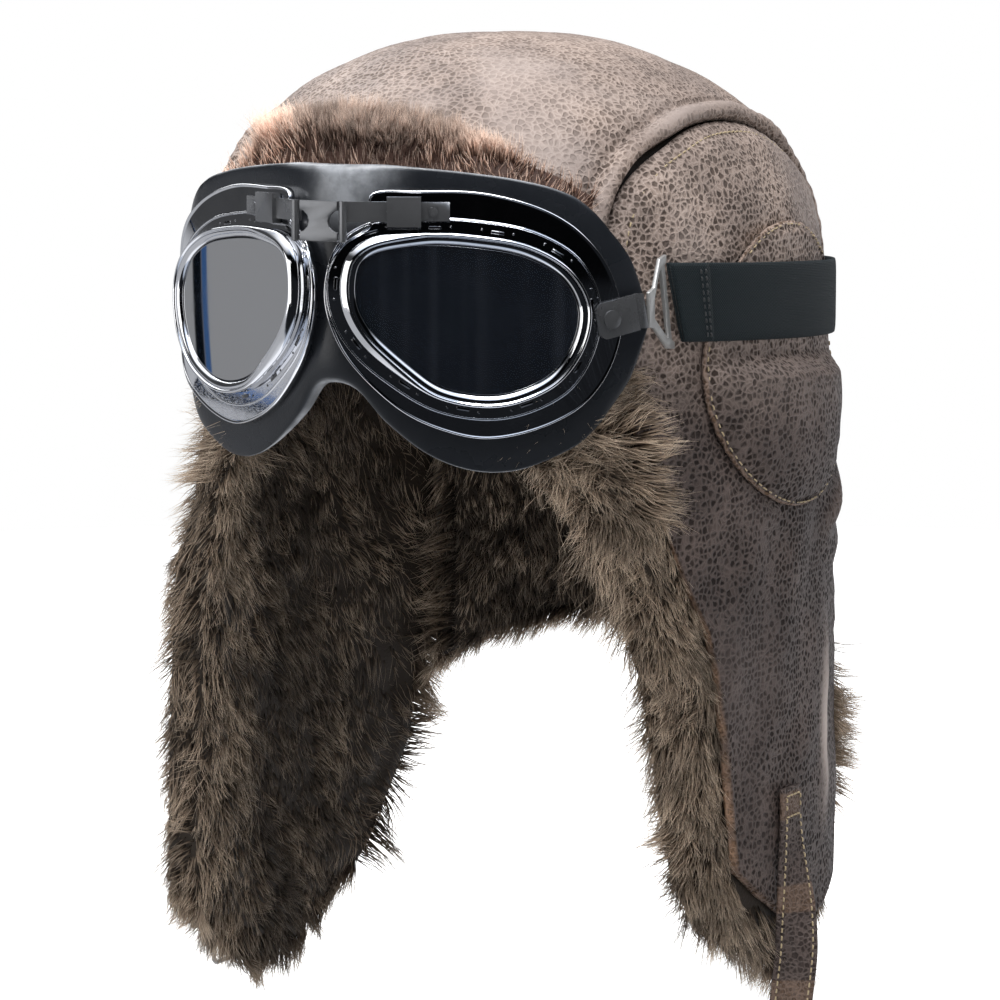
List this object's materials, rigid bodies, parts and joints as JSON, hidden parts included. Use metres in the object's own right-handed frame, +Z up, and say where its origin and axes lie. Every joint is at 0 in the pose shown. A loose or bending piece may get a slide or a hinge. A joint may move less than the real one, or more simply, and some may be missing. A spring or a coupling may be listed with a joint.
{
  "type": "aviator hat with goggles",
  "caption": "Fur-lined leather aviator hat with long ear flaps, ear patches, a chin strap and chrome flying goggles held on by an elastic strap.",
  "frame": {"origin": "inside the top of the crown, where the top of the wearer's head touches the fur lining", "axes": "+Z up, -Y out of the front of the hat, +X towards the wearer's left"},
  "size_m": [0.2352, 0.2586, 0.354],
  "materials": {
    "leather": "cracked brown leather, satin, worn pale on its ridges",
    "fur": "deep brown fur with pale tips",
    "brow_fur": "short reddish fur with pale tips",
    "padding": "black smooth padding, satin",
    "chrome": "polished chrome plate",
    "steel": "dull nickel-plated steel",
    "lens": "dark tinted glass, glossy",
    "elastic": "black-green woven elastic, matt"
  },
  "bodies": {
    "hat": {"crown_centre_panel": "leather", "side_panel_left": "leather", "side_panel_right": "leather", "ear_patch_left": "leather", "ear_patch_right": "leather", "chin_strap": "leather", "buckle_tab": "leather", "crown_fur_lining": "fur", "nape_fur_lining": "fur", "flap_fur_left": "fur", "flap_fur_right": "fur", "forehead_fur": "brow_fur", "goggle_mask": "padding", "eye_plate_left": "chrome", "eye_plate_right": "chrome", "lens_rim_left": "chrome", "lens_rim_right": "chrome", "bridge_link": "steel", "bridge_bracket_left": "steel", "bridge_bracket_right": "steel", "side_bracket_left": "steel", "side_bracket_right": "steel", "strap_loop_left": "steel", "strap_loop_right": "steel", "lens_left": "lens", "lens_right": "lens", "elastic_strap": "elastic"},
    "buckle": {"buckle_frame": "steel"},
    "prong": {"buckle_prong": "steel"}
  },
  "joints": [
    {"name": "buckle_swing", "type": "hinge", "parent": "hat", "child": "buckle", "pos_m": [-0.11671, -0.008, -0.309], "axis": [0, 1, 0], "range_deg": [0, 75]},
    {"name": "prong_swing", "type": "hinge", "parent": "buckle", "child": "prong", "pos_m": [-0.11671, -0.008, -0.309], "axis": [0, 1, 0], "range_deg": [0, 60]}
  ]
}
